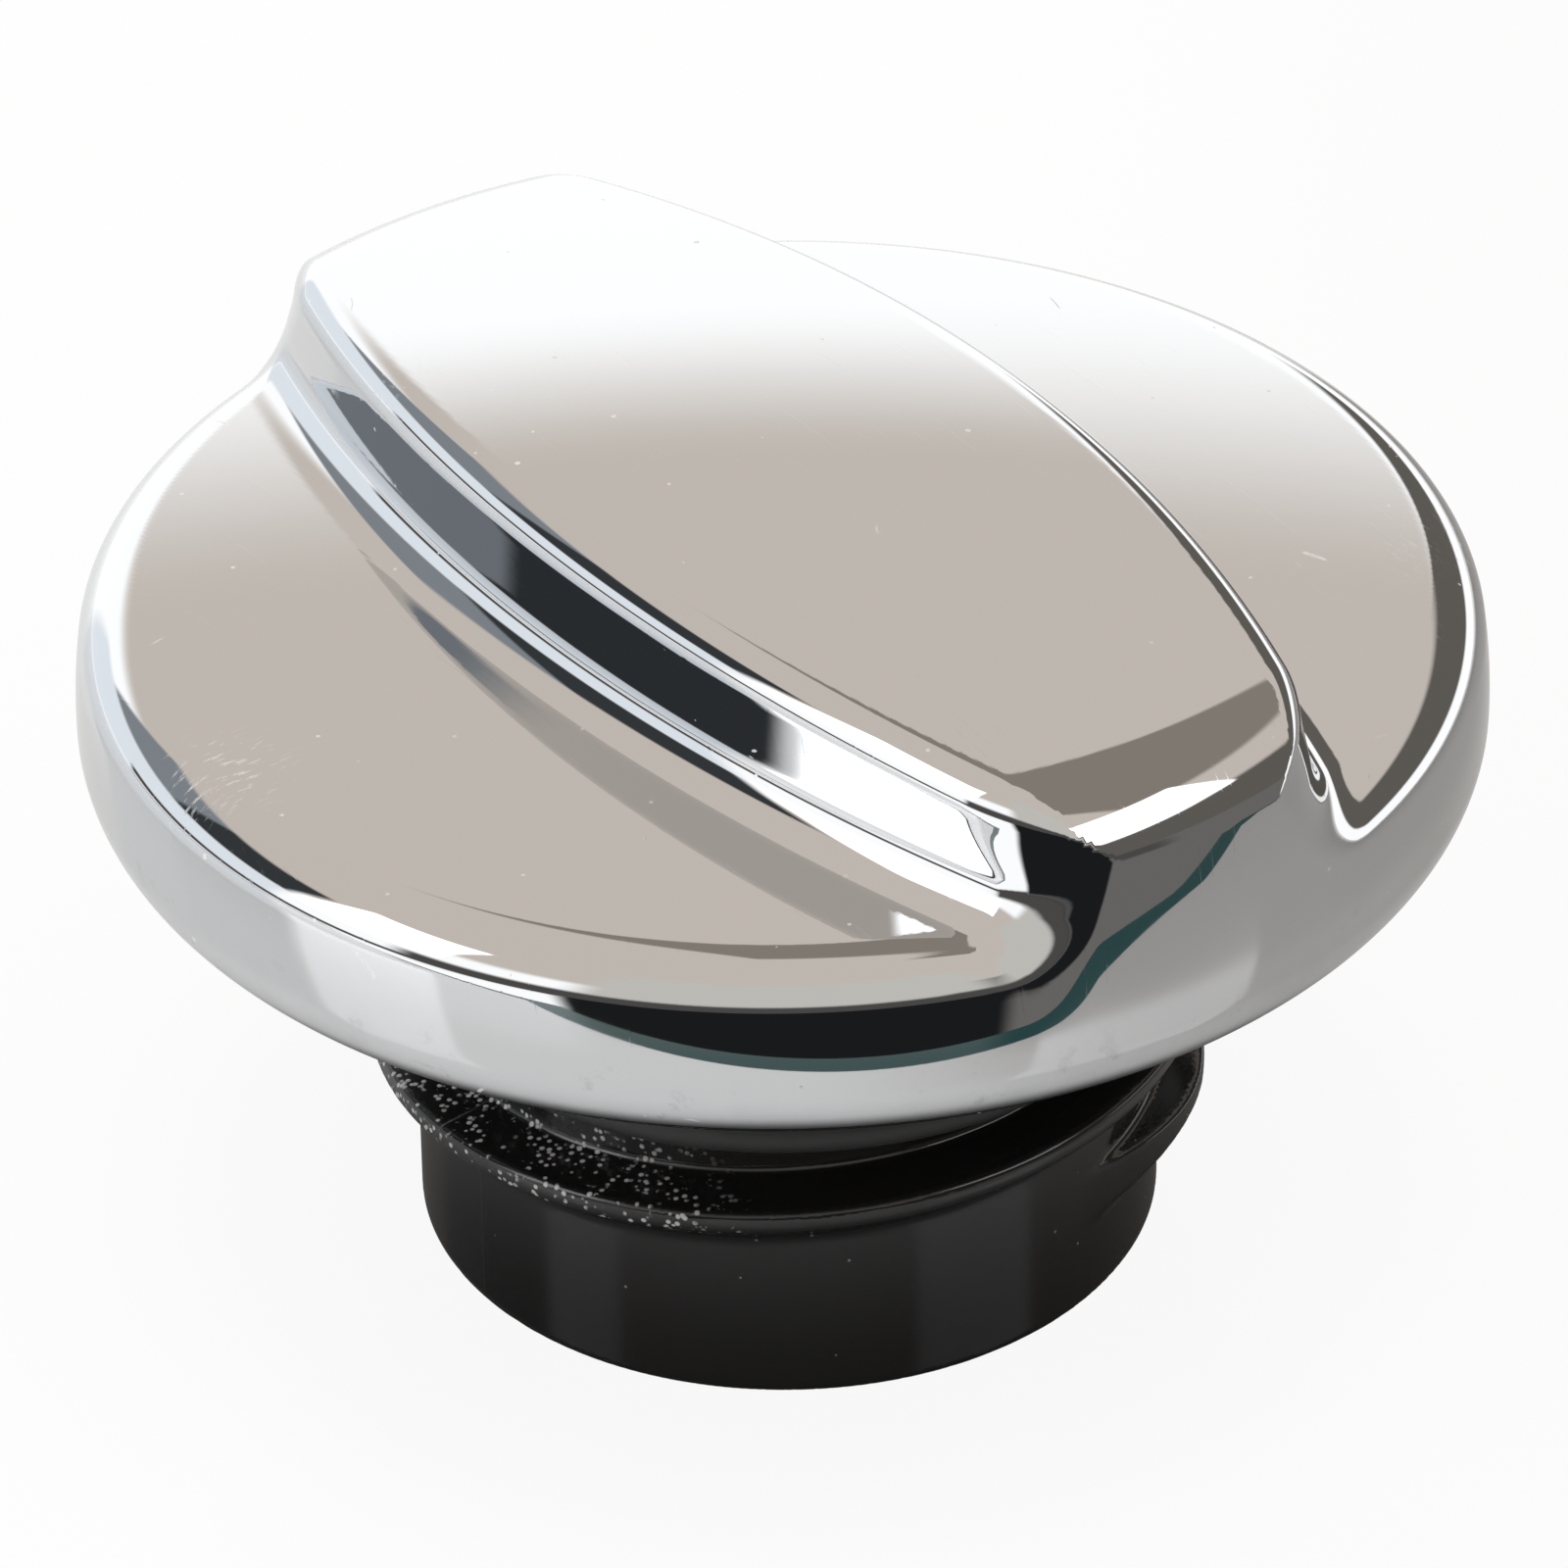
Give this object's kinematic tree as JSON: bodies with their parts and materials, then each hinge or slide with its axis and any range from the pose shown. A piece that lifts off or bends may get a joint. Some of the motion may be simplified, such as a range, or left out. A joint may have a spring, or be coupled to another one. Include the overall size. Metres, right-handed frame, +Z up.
{
  "type": "deck fill cap",
  "caption": "Round chromed screw-in fuel filler cap with a domed grip bar, threaded plastic plug, seal, ratchet and vent valve.",
  "frame": {"origin": "centre of the plug's bottom face, on the thread axis", "axes": "+Z up along the thread axis, out of the filler neck; +X along the grip bar"},
  "size_m": [0.08, 0.08, 0.0496],
  "materials": {
    "chrome_plate": "bright polished chrome plate",
    "black_plastic": "moulded, glossy",
    "grey_plastic": "moulded, satin",
    "acetal_white": "moulded acetal, satin",
    "acetal_black": "moulded acetal, satin",
    "seal_rubber": "smooth moulded rubber",
    "spring_steel": "drawn wire and rolled strip",
    "stainless": "turned stainless steel",
    "valve_brass": "turned brass"
  },
  "bodies": {
    "plug": {"plug_body": "black_plastic", "main_seal": "seal_rubber", "pawl_carrier": "black_plastic", "carrier_screws": "stainless", "thrust_washer": "acetal_white", "wave_spring": "spring_steel", "valve_seat_seal": "seal_rubber", "pressure_spring": "spring_steel", "spring_retainer": "black_plastic", "splash_baffle": "grey_plastic", "pawl_spring_1": "spring_steel", "pawl_spring_2": "spring_steel", "pawl_spring_3": "spring_steel"},
    "cover": {"cover_shell": "chrome_plate", "ratchet_crown": "acetal_white", "retaining_ring": "spring_steel"},
    "pressure_valve": {"pressure_valve_disc": "valve_brass", "vacuum_spring": "spring_steel"},
    "vacuum_valve": {"vacuum_valve_stem": "valve_brass", "vacuum_valve_seal": "seal_rubber", "vacuum_spring_clip": "stainless"},
    "pawl_a": {"pawl_1": "acetal_black"},
    "pawl_b": {"pawl_2": "acetal_black"},
    "pawl_c": {"pawl_3": "acetal_black"}
  },
  "joints": [
    {"name": "cover_turn", "type": "hinge", "parent": "plug", "child": "cover", "pos_m": [0, 0, 0.034], "axis": [0, 0, 1], "continuous": true},
    {"name": "pressure_valve_lift", "type": "slide", "parent": "plug", "child": "pressure_valve", "axis": [0, 0, 1], "range_m": [0, 0.003], "stiffness_N_per_m": 600, "springref_m": -0.0033, "deforming": ["pressure_spring"]},
    {"name": "vacuum_valve_drop", "type": "slide", "parent": "pressure_valve", "child": "vacuum_valve", "axis": [0, 0, -1], "range_m": [0, 0.002], "stiffness_N_per_m": 60, "springref_m": -0.0025, "deforming": ["vacuum_spring"]},
    {"name": "pawl_a_swing", "type": "hinge", "parent": "plug", "child": "pawl_a", "pos_m": [0.0276, 0, 0.0346], "axis": [0, 0, -1], "range_deg": [0, 10], "stiffness_Nm_per_rad": 0.01, "springref_deg": -20.05},
    {"name": "pawl_b_swing", "type": "hinge", "parent": "plug", "child": "pawl_b", "pos_m": [-0.0138, 0.0239, 0.0346], "axis": [0, 0, -1], "range_deg": [0, 10], "stiffness_Nm_per_rad": 0.01, "springref_deg": -20.05},
    {"name": "pawl_c_swing", "type": "hinge", "parent": "plug", "child": "pawl_c", "pos_m": [-0.0138, -0.0239, 0.0346], "axis": [0, 0, -1], "range_deg": [0, 10], "stiffness_Nm_per_rad": 0.01, "springref_deg": -20.05}
  ]
}
